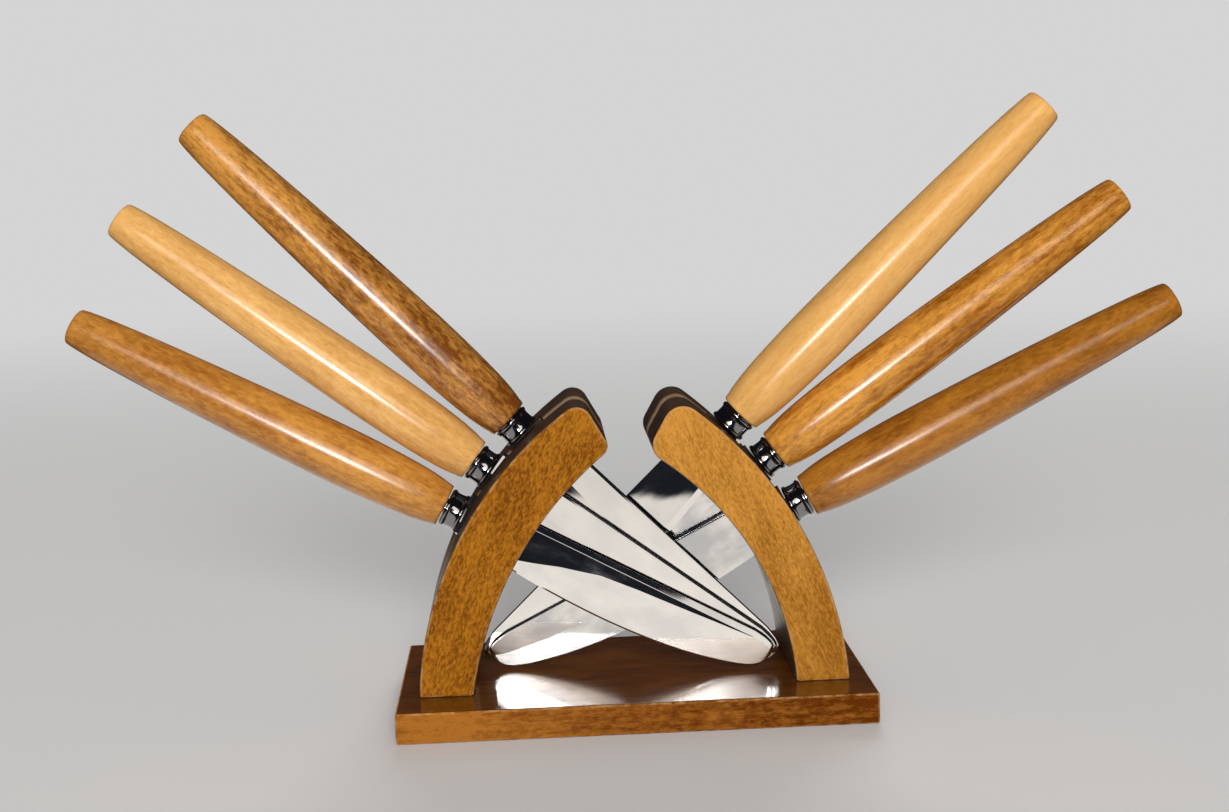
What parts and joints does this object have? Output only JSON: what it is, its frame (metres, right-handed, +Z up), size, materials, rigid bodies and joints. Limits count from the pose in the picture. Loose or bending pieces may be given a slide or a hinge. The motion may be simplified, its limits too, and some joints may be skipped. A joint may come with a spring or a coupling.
{
  "type": "table knife display stand",
  "caption": "Wooden desk stand: curved slotted arms on a base board hold table knives fanned out to both sides, their blades crossing in the middle; each knife draws out.",
  "frame": {"origin": "middle of the underside of the base board", "axes": "+X to the right along the length of the base board, +Y to the back, +Z up; the camera of the picture looks roughly along +Y"},
  "size_m": [0.2816, 0.056, 0.154],
  "materials": {
    "board_wood": "dark glossy varnish on a fine flecked hardwood",
    "left_arm_wood": "satin varnish on a fine flecked hardwood, darker on the curved faces",
    "right_arm_wood": "satin varnish on a fine flecked hardwood, darker on the curved faces",
    "left_top_handle_wood": "clear lacquer on mottled reddish brown wood",
    "left_middle_handle_wood": "clear lacquer on plain honey-coloured wood",
    "left_low_handle_wood": "clear lacquer on mid brown wood",
    "right_top_handle_wood": "clear lacquer on plain honey-coloured wood",
    "right_middle_handle_wood": "clear lacquer on golden brown wood with short flecks",
    "right_low_handle_wood": "clear lacquer on mid brown wood with short flecks",
    "blade_steel": "stainless steel polished to a mirror",
    "bolster_chrome": "polished turned metal collar",
    "screw_steel": "yellow passivated steel"
  },
  "bodies": {
    "stand": {"base_board": "board_wood", "left_arm": "left_arm_wood", "right_arm": "right_arm_wood", "left_front_screw": "screw_steel", "left_back_screw": "screw_steel", "right_front_screw": "screw_steel", "right_back_screw": "screw_steel"},
    "left_low_knife": {"left_low_blade": "blade_steel", "left_low_bolster": "bolster_chrome", "left_low_handle": "left_low_handle_wood"},
    "left_middle_knife": {"left_middle_blade": "blade_steel", "left_middle_bolster": "bolster_chrome", "left_middle_handle": "left_middle_handle_wood"},
    "left_top_knife": {"left_top_blade": "blade_steel", "left_top_bolster": "bolster_chrome", "left_top_handle": "left_top_handle_wood"},
    "right_low_knife": {"right_low_blade": "blade_steel", "right_low_bolster": "bolster_chrome", "right_low_handle": "right_low_handle_wood"},
    "right_middle_knife": {"right_middle_blade": "blade_steel", "right_middle_bolster": "bolster_chrome", "right_middle_handle": "right_middle_handle_wood"},
    "right_top_knife": {"right_top_blade": "blade_steel", "right_top_bolster": "bolster_chrome", "right_top_handle": "right_top_handle_wood"}
  },
  "joints": [
    {"name": "left_low_knife_draw", "type": "slide", "parent": "stand", "child": "left_low_knife", "axis": [-0.8719, 0.066, 0.4852], "range_m": [0, 0.21]},
    {"name": "left_middle_knife_draw", "type": "slide", "parent": "stand", "child": "left_middle_knife", "axis": [-0.7914, 0.0599, 0.6083], "range_m": [0, 0.21]},
    {"name": "left_top_knife_draw", "type": "slide", "parent": "stand", "child": "left_top_knife", "axis": [-0.6938, 0.0525, 0.7182], "range_m": [0, 0.21]},
    {"name": "right_low_knife_draw", "type": "slide", "parent": "stand", "child": "right_low_knife", "axis": [0.8726, -0.066, 0.484], "range_m": [0, 0.21]},
    {"name": "right_middle_knife_draw", "type": "slide", "parent": "stand", "child": "right_middle_knife", "axis": [0.7918, -0.0599, 0.6079], "range_m": [0, 0.21]},
    {"name": "right_top_knife_draw", "type": "slide", "parent": "stand", "child": "right_top_knife", "axis": [0.6936, -0.0525, 0.7185], "range_m": [0, 0.21]}
  ]
}
